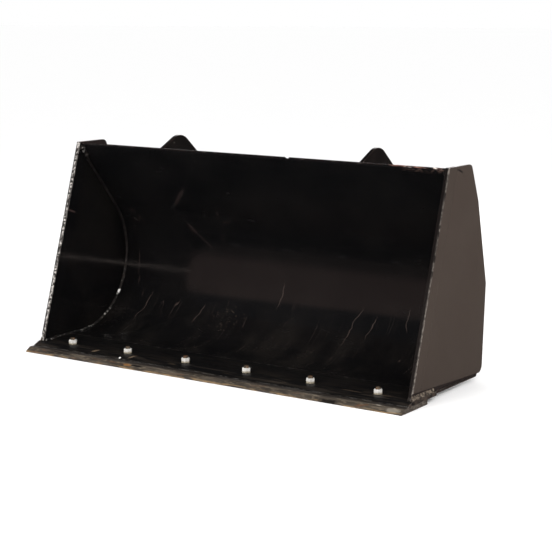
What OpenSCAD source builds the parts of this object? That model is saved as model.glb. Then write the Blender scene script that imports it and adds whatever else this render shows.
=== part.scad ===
// Skid steer bucket: a rolled sheet between two side plates, a welded base
// edge with a bolt-on cutting edge, and a quick-attach frame on the back.
//
// Frame: X runs across the bucket, the mouth opens towards -Y, +Z is up.
// The profile is drawn with y = 0 at the mouth's bottom corner, and the whole
// bucket is then moved so that its origin is the centre of its footprint.

/* [Body] */
// Width over the outer faces of the side plates
body_w = 1818; // [1500:1:2200]
// Distance that the mouth's top corner lies behind its bottom corner
mouth_top_y = 258; // [230:1:280]
// Height of the mouth's top corner above the ground
mouth_top_z = 873; // [860:1:890]
// Inner radius of the rolled back
roll_r = 330; // [320:1:331]
// Distance of the roll's centre behind the mouth's bottom corner
roll_y = 250; // [245:1:251]
// Thickness of the rolled sheet
sheet_t = 6.35; // [4.75:0.05:6.4]
// Thickness of the side plates
side_t = 9.5; // [6:0.5:14]
// Thickness of the bars that edge the side plates at the mouth
side_bar_t = 19; // [14:0.5:25]
// Width of the bars that edge the side plates at the mouth
side_bar_w = 60; // [40:1:90]

/* [Cutting edges] */
// Length of the base edge and of the bolt-on edge
edge_l = 1829; // [1820:1:1850]
// Thickness of the welded base edge
base_edge_t = 16; // [13:0.5:19]
// Distance from the base edge's toe to the mouth's bottom corner
base_toe = 35; // [25:1:45]
// Distance of the base edge's rear end behind the mouth's bottom corner
base_rear = 185; // [170:1:195]
// Thickness of the bolt-on edge
bolt_edge_t = 19; // [16:0.5:25]
// Width of the bolt-on edge from its tip to its rear face
bolt_edge_d = 200; // [190:1:202]
// Distance from the bolt-on edge's tip to the mouth's bottom corner
bolt_edge_tip = 87; // [85:1:95]
// Spacing of the plow bolts
bolt_pitch = 300; // [250:1:305]
// Number of plow bolts
bolt_n = 6; // [4:2:6]
// Distance of the bolt row behind the mouth's bottom corner
bolt_y = 28; // [20:1:35]

/* [Ears] */
// Distance from the middle of the bucket to each upper gusset
ear_x = 490; // [440:1:520]
// Height above the ground at which an ear's two flanks would meet
ear_point_z = 928; // [915:1:940]
// Thickness of the upper gussets and the ribs below them
rib_t = 16; // [10:1:20]

/* [Quick-attach frame] */
// Width between the end plates, where the loader's plate fits
coupler_w = 1140; // [1120:1:1150]
// Height of the face that the loader's plate bears on
coupler_h = 440; // [400:1:450]
// Spacing of the two lock-pin slots
pin_pitch = 870; // [800:1:900]
// Length of each lock-pin slot along the bucket
pin_slot_l = 50; // [40:1:60]
// Width of each lock-pin slot
pin_slot_w = 28; // [24:1:32]

/* [Skids] */
// Thickness of the skid bars under the floor
skid_t = 25; // [16:1:40]
// Distance from the middle of the bucket to each inner skid bar
skid_inner_x = 230; // [150:1:260]
// Distance from the middle of the bucket to each outer skid bar
skid_outer_x = 640; // [600:1:700]

/* [Hidden] */

$fn = 96;
cut = 1;                                   // how far a cutter runs past a face

// The level of the floor, which is the top of the base edge
floor_z = bolt_edge_t + base_edge_t;
mouth_top = [mouth_top_y, mouth_top_z];
mouth_angle = atan2(mouth_top_y, mouth_top_z - floor_z);

// The rolled sheet's inner surface: floor, roll, then a straight back that
// ends at the lip. The back is tangent to a circle just inside the roll, so
// that the two cross cleanly and don't merely touch
roll_c = [roll_y, floor_z + roll_r];
back_r = roll_r - 0.02;
lip = mouth_top + [3, -12];
to_roll = roll_c - lip;
back_angle = atan2(to_roll[0], -to_roll[1]) + asin(back_r / norm(to_roll));
back_down = [sin(back_angle), -cos(back_angle)];
back_out = [cos(back_angle), sin(back_angle)];

// The side plates' outline behind the mouth
side_top_rear = [440, mouth_top_z];
side_shoulder = [505, 725];
side_rear = [592, 390];
side_heel = [575, floor_z];
side_corner_r = 26;
heel_corner_r = 30;

// The outer faces step in along the foot, under a line falling to the heel
foot_in = 3;
foot_rise = 26;
foot_run = 545;

// The top lip bar laps the sheet's rear face
lip_bar_t = 6.35;
lip_bar_w = 50;
lip_bar_rise = 2;

// The small notch in the top edge, to the right of the middle
notch_x = 177;
notch_r = 10;
notch_lift = 6;

// The bevels of the two edges
base_bevel = base_toe - 4;
base_nose = 3;
bolt_edge_bevel = 23;
bolt_edge_nose = 4;
bolt_edge_rear = bolt_edge_d - bolt_edge_tip;

// 3/4 in plow bolts and their heavy hex nuts
bolt_d = 19.05;
bolt_hole_d = 20.6;
bolt_neck = 19.6;
bolt_neck_hole = 20.4;
bolt_head_d = 34;
bolt_head_h = 9;
bolt_stub = 8;
bolt_chamfer = 1.6;
nut_flats = 31.75;
nut_h = 18.65;
nut_bore_d = 19.4;
nut_chamfer = 2;

// The quick-attach frame stands behind the roll
coupler_y = 590;
coupler_t = 12;
coupler_face_y = coupler_y + coupler_t;
flange_t = 12.7;
flange_z = 110;
flange_rear = coupler_face_y + 58;
pin_slot_y = coupler_face_y + 29;
hook_t = 10;
hook_z = flange_z + flange_t + coupler_h;
hook_reach = 12;
hook_drop = 36;
end_plate_t = 10;
end_plate_top = hook_z + 34;
ear_front = [286, 849];
ear_rear = [coupler_face_y - 4, 806];
ear_point_y = 447;
ear_tip_r = 85;

// The runners inside the side plates' heels
runner_t = 16;
runner_z = bolt_edge_t;
runner_rear = 545;
runner_chamfer = 13;
runner_top = [475, 150];

skid_front = bolt_edge_rear + 6;
skid_flat_rear = 470;
skid_heel = [500, 40];
skid_top = [455, 112];

far = 2000;

// Ground-plan shift that puts the origin at the centre of the footprint
origin_y = (flange_rear - bolt_edge_tip) / 2;

paint = "#17181a";
outer_paint = "#4d4640";
worn_steel = "#a8a49c";
edge_steel = "#5b544b";
zinc = "#d8d8d2";
bolt_steel = "#6e5f4d";

// A profile drawn as [y, z], extruded across the bucket from x0 to x1
module across(x0, x1) {
    translate([x0, -origin_y, 0])
        rotate([90, 0, 90])
            linear_extrude(height = x1 - x0) children();
}

// A profile extruded about one place x, t thick
module slab(x, t) {
    across(x - t / 2, x + t / 2) children();
}

// The points of a corner at p, rounded with radius r between its neighbours
function unit(v) = v / norm(v);
function corner(a, p, b, r, n = 10) =
    let (u = unit(a - p), w = unit(b - p), half = acos(u * w) / 2)
    let (c = p + unit(u + w) * r / sin(half))
    let (s = p + u * r / tan(half) - c, e = p + w * r / tan(half) - c)
    [for (i = [0:n]) c + r * unit(s * (n - i) / n + e * i / n)];

// Everything on the load's side of the sheet's inner surface, grown by o
module load_side(o) {
    translate(roll_c) circle(r = roll_r + o);
    polygon([
        [-far, floor_z - o],
        [roll_y, floor_z - o],
        roll_c + (back_r + o) * back_out,
        lip + o * back_out - far * back_down,
        [-far, far]
    ]);
}

// The rolled sheet's section, from the base edge to the lip
module sheet_section() {
    below = floor_z - 2 * sheet_t;
    intersection() {
        difference() {
            load_side(sheet_t);
            load_side(0);
        }
        polygon([
            [base_rear, below],
            [far, below],
            lip + far * back_out,
            lip - side_bar_w * back_out,
            [base_rear, roll_c[1]]
        ]);
    }
}

module lip_bar_section() {
    translate(lip + sheet_t * back_out) rotate(back_angle - 90)
        translate([-lip_bar_rise, 0]) square([lip_bar_w, lip_bar_t]);
}

// The small notch, cut square through the sheet and the lip bar
module edge_notch() {
    translate([notch_x, lip[0] - origin_y, lip[1] + notch_lift])
        rotate([back_angle - 90, 0, 0])
            cylinder(h = 60, r = notch_r, center = true);
}

// The mouth edge's strip of the side plate's outline
module side_bar_section() {
    rear = side_bar_w / cos(mouth_angle);
    polygon([
        [0, floor_z],
        mouth_top,
        mouth_top + [rear, 0],
        [rear, floor_z]
    ]);
}

module side_plate_section() {
    front = side_bar_w / cos(mouth_angle);
    polygon(concat(
        [[front, floor_z], mouth_top + [front, 0]],
        corner(mouth_top, side_top_rear, side_shoulder, side_corner_r),
        [side_shoulder, side_rear],
        corner(side_rear, side_heel, [0, floor_z], heel_corner_r)
    ));
}

// A skid's or runner's outline, cut to the underside of the roll
module under_floor(points) {
    difference() {
        polygon(points);
        load_side(sheet_t);
        translate([-far, bolt_edge_t]) square([far + base_rear, far]);
    }
}

// A plate between the back of the roll and the quick-attach frame
module behind_roll(points) {
    difference() {
        polygon(points);
        load_side(sheet_t);
    }
}

module bolt_places() {
    for (i = [0:bolt_n - 1])
        translate([(i - (bolt_n - 1) / 2) * bolt_pitch, bolt_y - origin_y, 0])
            children();
}

module wrapper_sheet() {
    inside = body_w / 2 - side_t;
    color(paint) difference() {
        across(-inside, inside) sheet_section();
        edge_notch();
    }
}

module foot_step(side) {
    outer = body_w / 2;
    x0 = side > 0 ? outer - foot_in : -outer - cut;
    across(x0, x0 + foot_in + cut) polygon([
        [-cut, floor_z - cut],
        [-cut, floor_z + foot_rise],
        [foot_run, floor_z],
        [foot_run, floor_z - cut]
    ]);
}

module side_plate(side) {
    outer = body_w / 2;
    x0 = side > 0 ? outer - side_t : -outer;
    color(outer_paint) difference() {
        across(x0, x0 + side_t) side_plate_section();
        foot_step(side);
    }
}

module side_plate_left() { side_plate(-1); }
module side_plate_right() { side_plate(1); }

module side_edge_bar(side) {
    outer = body_w / 2;
    x0 = side > 0 ? outer - side_bar_t : -outer;
    color(worn_steel) difference() {
        across(x0, x0 + side_bar_t) side_bar_section();
        foot_step(side);
    }
}

module side_edge_bar_left() { side_edge_bar(-1); }
module side_edge_bar_right() { side_edge_bar(1); }

module top_lip_bar() {
    inside = body_w / 2 - side_t;
    color(paint) difference() {
        across(-inside, inside) lip_bar_section();
        edge_notch();
    }
}

module base_edge() {
    color(paint) difference() {
        across(-edge_l / 2, edge_l / 2) polygon([
            [-base_toe, bolt_edge_t],
            [-base_toe, bolt_edge_t + base_nose],
            [base_bevel - base_toe, floor_z],
            [base_rear, floor_z],
            [base_rear, bolt_edge_t]
        ]);
        bolt_places()
            translate([0, 0, bolt_edge_t - cut])
                cylinder(h = base_edge_t + 2 * cut, d = bolt_hole_d);
    }
}

module bolt_on_edge() {
    color(edge_steel) difference() {
        across(-edge_l / 2, edge_l / 2) polygon([
            [-bolt_edge_tip, 0],
            [-bolt_edge_tip, bolt_edge_nose],
            [bolt_edge_bevel - bolt_edge_tip, bolt_edge_t],
            [bolt_edge_rear, bolt_edge_t],
            [bolt_edge_rear, 0]
        ]);
        bolt_places() {
            cylinder(h = bolt_head_h, d1 = bolt_head_d, d2 = bolt_neck_hole);
            translate([0, 0, bolt_edge_t / 2 + bolt_head_h / 2])
                cube([bolt_neck_hole, bolt_neck_hole, bolt_edge_t], center = true);
        }
    }
}

// Flat countersunk head, square neck, round shank with a chamfered end
module plow_bolt() {
    top = floor_z + nut_h + bolt_stub;
    rotate_extrude() polygon([
        [0, 1],
        [bolt_head_d / 2 - 0.8, 1],
        [bolt_d / 2, bolt_head_h],
        [bolt_d / 2, top - bolt_chamfer],
        [bolt_d / 2 - bolt_chamfer, top],
        [0, top]
    ]);
    translate([0, 0, (bolt_head_h + bolt_edge_t) / 2])
        cube([bolt_neck, bolt_neck, bolt_edge_t - bolt_head_h], center = true);
}

module plow_bolts() {
    color(bolt_steel) bolt_places() plow_bolt();
}

// A hex nut whose corners are turned off at 30 degrees above
module hex_nut() {
    corners_r = nut_flats / sqrt(3);
    difference() {
        intersection() {
            cylinder(h = nut_h, r = corners_r, $fn = 6);
            rotate_extrude() polygon([
                [0, 0],
                [corners_r, 0],
                [corners_r, nut_h - nut_chamfer],
                [corners_r - nut_chamfer * sqrt(3), nut_h],
                [0, nut_h]
            ]);
        }
        translate([0, 0, -cut]) cylinder(h = nut_h + 2 * cut, d = nut_bore_d);
    }
}

module hex_nuts() {
    color(zinc) bolt_places()
        translate([0, 0, floor_z]) hex_nut();
}

// Profile-cut runner against the inner face of the side plate's heel
module heel_runner(side) {
    x = side * (body_w / 2 - side_t - runner_t / 2);
    color(paint) slab(x, runner_t) under_floor([
        [base_rear, runner_z],
        [runner_rear, runner_z],
        [runner_rear + runner_chamfer, floor_z],
        runner_top,
        [base_rear, runner_top[1]]
    ]);
}

module heel_runner_left() { heel_runner(-1); }
module heel_runner_right() { heel_runner(1); }

module skid_bar(x) {
    color(paint) slab(x, skid_t) under_floor([
        [skid_front, 0],
        [skid_flat_rear, 0],
        skid_heel,
        skid_top,
        [skid_front, skid_top[1]]
    ]);
}

module skid_bar_outer_left() { skid_bar(-skid_outer_x); }
module skid_bar_outer_right() { skid_bar(skid_outer_x); }
module skid_bar_inner_left() { skid_bar(-skid_inner_x); }
module skid_bar_inner_right() { skid_bar(skid_inner_x); }

module coupler_plate() {
    color(paint) across(-coupler_w / 2, coupler_w / 2)
        translate([coupler_y, flange_z + flange_t]) square([coupler_t, coupler_h]);
}

// Top plate from the roll to the frame, bent down behind as the hook lip
module coupler_hook_lip() {
    bend = [coupler_face_y + hook_reach, hook_z + hook_t];
    tip = bend + [hook_drop, -hook_drop];
    in = hook_t * [-sin(45), -cos(45)];
    color(paint) across(-coupler_w / 2, coupler_w / 2) behind_roll([
        [roll_y, hook_z],
        [coupler_face_y + hook_reach - hook_t * tan(22.5), hook_z],
        tip + in,
        tip,
        bend,
        [roll_y, hook_z + hook_t]
    ]);
}

// Bottom plate from the roll to behind the frame, with the lock-pin slots
module coupler_pin_flange() {
    run = pin_slot_l - pin_slot_w;
    color(paint) difference() {
        across(-coupler_w / 2, coupler_w / 2) behind_roll([
            [roll_y, flange_z],
            [flange_rear, flange_z],
            [flange_rear, flange_z + flange_t],
            [roll_y, flange_z + flange_t]
        ]);
        for (side = [-1, 1])
            translate([side * pin_pitch / 2, pin_slot_y - origin_y, flange_z - cut]) {
                for (end = [-1, 1])
                    translate([end * run / 2, 0, 0])
                        cylinder(h = flange_t + 2 * cut, d = pin_slot_w);
                translate([-run / 2, -pin_slot_w / 2, 0])
                    cube([run, pin_slot_w, flange_t + 2 * cut]);
            }
    }
}

module coupler_end_plate(side) {
    x = side * (coupler_w / 2 + end_plate_t / 2);
    color(paint) slab(x, end_plate_t) behind_roll([
        [roll_y, flange_z],
        [flange_rear, flange_z],
        [flange_rear, hook_z - hook_drop],
        [coupler_face_y, end_plate_top],
        [roll_y, end_plate_top]
    ]);
}

module coupler_end_plate_left() { coupler_end_plate(-1); }
module coupler_end_plate_right() { coupler_end_plate(1); }

module coupler_rib(x) {
    color(paint) slab(x, rib_t) behind_roll([
        [roll_y, flange_z + flange_t],
        [coupler_y, flange_z + flange_t],
        [coupler_y, hook_z],
        [roll_y, hook_z]
    ]);
}

module coupler_rib_left() { coupler_rib(-ear_x); }
module coupler_rib_center() { coupler_rib(0); }
module coupler_rib_right() { coupler_rib(ear_x); }

// Upper gusset: it braces the back above the frame, and its rounded top
// stands above the lip as an ear
module ear_gusset(x) {
    color(paint) slab(x, rib_t) difference() {
        polygon(concat(
            corner(ear_front, [ear_point_y, ear_point_z], ear_rear, ear_tip_r),
            [
                ear_rear,
                [ear_rear[0], hook_z + hook_t],
                [roll_y, hook_z + hook_t],
                ear_front
            ]
        ));
        load_side(sheet_t);
        lip_bar_section();
    }
}

module ear_gusset_left() { ear_gusset(-ear_x); }
module ear_gusset_right() { ear_gusset(ear_x); }

wrapper_sheet();
side_plate_left();
side_plate_right();
side_edge_bar_left();
side_edge_bar_right();
top_lip_bar();
base_edge();
bolt_on_edge();
plow_bolts();
hex_nuts();
heel_runner_left();
heel_runner_right();
skid_bar_outer_left();
skid_bar_outer_right();
skid_bar_inner_left();
skid_bar_inner_right();
coupler_plate();
coupler_hook_lip();
coupler_pin_flange();
coupler_end_plate_left();
coupler_end_plate_right();
coupler_rib_left();
coupler_rib_center();
coupler_rib_right();
ear_gusset_left();
ear_gusset_right();
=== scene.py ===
import math

import bpy
import numpy as np
from mathutils import Matrix, Vector


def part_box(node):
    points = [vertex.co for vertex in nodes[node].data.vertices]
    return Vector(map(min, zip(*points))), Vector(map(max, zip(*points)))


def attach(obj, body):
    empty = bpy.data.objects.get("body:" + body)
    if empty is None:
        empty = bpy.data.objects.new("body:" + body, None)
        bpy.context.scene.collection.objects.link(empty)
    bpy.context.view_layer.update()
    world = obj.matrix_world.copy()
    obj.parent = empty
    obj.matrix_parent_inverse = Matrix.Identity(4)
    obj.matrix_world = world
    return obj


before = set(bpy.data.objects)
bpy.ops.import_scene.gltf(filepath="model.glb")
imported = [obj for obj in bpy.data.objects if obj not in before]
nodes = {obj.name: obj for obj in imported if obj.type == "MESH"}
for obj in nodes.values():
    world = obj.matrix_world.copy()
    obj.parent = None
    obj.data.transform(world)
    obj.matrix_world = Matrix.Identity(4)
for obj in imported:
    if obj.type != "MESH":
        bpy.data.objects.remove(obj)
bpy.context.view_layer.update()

# The camera: the point that it looks at, its direction, distance and lens
AIM = Vector((0.174, -0.0866, 0.399))
AZIMUTH, ELEVATION, ROLL = 33.6, 9.99, 0.35
DISTANCE = 6.214
LENS, SENSOR = 101.4, 36

# The bucket's section: how far the bolt-on edge runs ahead of the mouth, the sheet and its roll, how
# far the mouth leans back and how high it is, and how far the lip lies behind and below its top corner
TIP_REACH = 0.087
SHEET_T = 0.00635
ROLL_R, ROLL_BACK = 0.33, 0.25
MOUTH_LEAN, MOUTH_TOP_Z = 0.258, 0.873
LIP_BEHIND, LIP_BELOW = 0.003, 0.012

# The same in the row frame, and the faces that looks and welds are set out from
MOUTH_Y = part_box("bolt_on_edge")[0].y + TIP_REACH
FLOOR_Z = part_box("base_edge")[1].z
ROLL_Y, ROLL_Z = MOUTH_Y + ROLL_BACK, FLOOR_Z + ROLL_R
LIP = (MOUTH_Y + MOUTH_LEAN + LIP_BEHIND, MOUTH_TOP_Z - LIP_BELOW)
BASE_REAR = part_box("base_edge")[1].y
END_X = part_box("bolt_on_edge")[1].x
PLATE_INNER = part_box("wrapper_sheet")[1].x
PLATE_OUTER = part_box("side_plate_right")[1].x
BAR_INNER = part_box("side_edge_bar_right")[0].x
BAR_DEPTH = 0.0628
RUNNER_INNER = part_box("heel_runner_right")[0].x
MOUTH_ANGLE = math.atan2(MOUTH_LEAN, MOUTH_TOP_Z - FLOOR_Z)
MOUTH_SIN, MOUTH_COS = math.sin(MOUTH_ANGLE), math.cos(MOUTH_ANGLE)

# The straight back touches the roll at this angle, measured from +Y, and it runs down from the lip
TO_ROLL = (ROLL_Y - LIP[0], ROLL_Z - LIP[1])
BACK_ANGLE = math.atan2(TO_ROLL[0], -TO_ROLL[1]) + math.asin(ROLL_R / math.hypot(*TO_ROLL))
BACK_OUT = (math.cos(BACK_ANGLE), math.sin(BACK_ANGLE))
BACK_DOWN = (math.sin(BACK_ANGLE), -math.cos(BACK_ANGLE))

# The stepped foot of each side: how far in, its height at the mouth and its length
FOOT_IN = 0.003
FOOT_RISE = 0.026
FOOT_RUN = 0.545

# Weld legs, how much taller than wide the foot's weld is, and the crown of the floor's seam
LEG_FINE, LEG_THIN, LEG_FULL = 0.005, 0.006, 0.007
LEG_INSIDE, LEG_FOOT = 0.0075, 0.0066
FOOT_TALL = 2.4
SEAM_CROWN = 0.0007

# How far the beads stop short of ends and corners, and the points of their straight lines
SHORT, CLEAR, ROOM = 0.004, 0.006, 0.01
UNDER_ROOM, HEEL_ROOM = 0.02, 0.03
SEAM_POINTS, LINE_POINTS, FOOT_POINTS = 40, 30, 20

# Where the beads stop or turn: the runner, the lip bar, the ears, the skid bars and the hook
RUNNER_TOP, RUNNER_REAR = 0.129, 0.21
LIP_BAR_FOOT = 0.048
LIP_CLEAR_ROWS = 5
HOOK_T = 0.01
HOOK_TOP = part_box("coupler_plate")[1].z + HOOK_T
EAR_NEAR, EAR_FAR = 0.47, 0.51
EAR_WELD_TOP = 0.815
SKID_WELD_TOP = 0.1

# Lumps near the top of the weld inside: how far below its end, and how much thicker
LUMPS = ((0.012, 2.3), (0.034, 1.7), (0.058, 2.1), (0.085, 1.5))
LUMP_REACH = 0.008

# The rounding of the pieces' sharp edges, where it isn't the usual one
ROUNDING = {"hex_nuts": 0.0006, "plow_bolts": 0.0004, "wrapper_sheet": 0.0008, "bolt_on_edge": 0.0012}
USUAL_ROUNDING = 0.001
MERGE_GAP = 0.00001
FLAT_ANGLE, SHARP_ANGLE = math.radians(0.4), math.radians(28)

# The bolts' thread, ten to the inch
THREAD_PITCH = 0.00254

# Scratches up the roll, as (x, z) ends, and scuffs as (x, z), half sizes, turn in degrees and strength
SCRATCHES = (
    ((-0.736, 0.069), (-0.702, 0.197)),
    ((-0.430, 0.091), (-0.408, 0.177)),
    ((-0.033, 0.176), (-0.023, 0.303)),
    ((0.335, 0.078), (0.373, 0.250)),
    ((0.420, 0.117), (0.453, 0.216)),
    ((0.598, 0.157), (0.582, 0.261)),
)
SCUFFS = (
    ((-0.50, 0.64), (0.075, 0.011), 40, 0.8),
    ((-0.505, 0.49), (0.035, 0.013), -50, 0.7),
    ((-0.45, 0.44), (0.065, 0.009), -40, 0.35),
    ((-0.819, 0.552), (0.018, 0.016), 0, 0.5),
    ((-0.806, 0.232), (0.004, 0.02), 0, 1.0),
    ((-0.822, 0.31), (0.003, 0.06), 3, 1.0),
)

# Smears on the base edge, as (x, y), half sizes, turn in degrees and strength
SMEARS = (
    ((-0.593, -0.297), (0.022, 0.007), 30, 1.0),
    ((-0.395, -0.296), (0.026, 0.006), 48, 1.0),
    ((0.645, -0.276), (0.055, 0.005), -4, 0.45),
    ((0.79, -0.268), (0.03, 0.008), 8, 0.35),
)

# The studio: the wall that gloss sees, as (height from 0 below to 1 above, colour), and the floor disc
WALL = (
    (0.0, (0.04, 0.035, 0.03)),
    (0.34, (0.09, 0.07, 0.063)),
    (0.44, (0.262, 0.186, 0.17)),
    (0.76, (0.29, 0.21, 0.19)),
    (0.80, (0.05, 0.05, 0.055)),
    (1.0, (0.03, 0.03, 0.035)),
)
STUDIO_R, STUDIO_POINTS, STUDIO_DROP = 90, 64, 0.0005

# Colours, linear: paint, steel and rust
BLACK = (0.0030, 0.0030, 0.0033, 1)
SOOT = (0.0048, 0.0045, 0.0046, 1)
DUST = (0.034, 0.028, 0.023, 1)
# The sides' outer faces: a dusty brown-grey that is partly a painted sheen of the black paint where light
# falls on it
SIDE_LIT_GREY = (0.041, 0.031, 0.0245, 1)
SIDE_LIT_PALE = (0.049, 0.037, 0.029, 1)
STEEL = (0.30, 0.285, 0.265, 1)
BRIGHT_STEEL = (0.62, 0.60, 0.57, 1)
DARK_STEEL = (0.055, 0.048, 0.042, 1)
MILL_BROWN = (0.024, 0.019, 0.015, 1)
RUST = (0.16, 0.062, 0.022, 1)
PALE_RUST = (0.36, 0.24, 0.12, 1)
RED_WEAR = (0.28, 0.13, 0.10, 1)
ZINC = (0.80, 0.79, 0.755, 1)

# Rubs, scratches and flecks in the paint
RUB_BODY = (0.12, 0.10, 0.085, 1)
RUB_SIDE = (0.13, 0.11, 0.095, 1)
RUB_EDGE = (0.16, 0.125, 0.09, 1)
SCRATCH_BROWN = (0.125, 0.088, 0.075, 1)
SCUFF_BROWN = (0.056, 0.038, 0.035, 1)
SCRAPE_BROWN = (0.062, 0.040, 0.036, 1)
FLECK_TAN = (0.27, 0.20, 0.155, 1)
RIM_BROWN = (0.085, 0.055, 0.046, 1)
LIP_CHIP = (0.74, 0.66, 0.60, 1)

# The feet of the sides, dark below their step as painted shade, and the bars along the mouth
FOOT_SHADE_BLACK = (0.0085, 0.0066, 0.0060, 1)
FOOT_SHADE_BROWN = (0.019, 0.013, 0.012, 1)
PIT_DARK = (0.022, 0.019, 0.017, 1)
GRIT_BRIGHT = (0.60, 0.58, 0.55, 1)
BAR_RIM = (0.024, 0.020, 0.018, 1)
BAR_DULL = (0.018, 0.015, 0.013, 1)
BAR_DULL_PALE = (0.052, 0.045, 0.039, 1)
# A painted highlight along the right bar's outer corner
BAR_HIGHLIGHT = (0.06, 0.052, 0.046, 1)
BAR_HIGHLIGHT_PALE = (0.19, 0.17, 0.15, 1)
BAR_TIP = (0.24, 0.215, 0.19, 1)
BAR_PAINT = (0.0045, 0.0036, 0.0034, 1)

# The base edge and the cutting edge
STREAK_TAN = (0.10, 0.075, 0.05, 1)
SMEAR_TAN = (0.20, 0.14, 0.09, 1)
WHITE_DOT = (0.8, 0.79, 0.76, 1)
END_BROWN = (0.06, 0.045, 0.035, 1)
EDGE_BROWN = (0.045, 0.036, 0.028, 1)
EDGE_TAN = (0.112, 0.092, 0.070, 1)
EDGE_DARK = (0.012, 0.010, 0.009, 1)
EDGE_SCRATCH = (0.34, 0.28, 0.20, 1)
EDGE_GRIT = (0.185, 0.15, 0.105, 1)
EDGE_SOOT = (0.006, 0.005, 0.005, 1)
ORANGE_STAIN = (0.30, 0.14, 0.04, 1)
PALE_MARK = (0.62, 0.57, 0.48, 1)
SAWN_DARK = (0.035, 0.028, 0.022, 1)
SAWN_PALE = (0.105, 0.086, 0.068, 1)

# Bolts, nuts, welds and the studio floor
BOLT_DARK = (0.06, 0.042, 0.028, 1)
BOLT_TAN = (0.19, 0.145, 0.10, 1)
ZINC_DULL = (0.60, 0.59, 0.55, 1)
NUT_GRIME = (0.26, 0.21, 0.115, 1)
NUT_EDGE = (0.34, 0.30, 0.22, 1)
WELD_STEEL = (0.09, 0.078, 0.066, 1)
WELD_SPOT = (0.8, 0.79, 0.77, 1)
SPATTER_DARK = (0.026, 0.020, 0.016, 1)
SPATTER_TAN = (0.15, 0.12, 0.09, 1)
# The foot weld's pale flecks: painted highlights on its lumps
SPATTER_HIGHLIGHT = (0.20, 0.168, 0.13, 1)
FLOOR_DIM = (0.98, 0.98, 0.98, 1)
FLOOR_PALE = (0.995, 0.995, 0.995, 1)

# How fast a patch's rim wanders, for the root of its half width
RAGGED = 9.6


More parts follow.
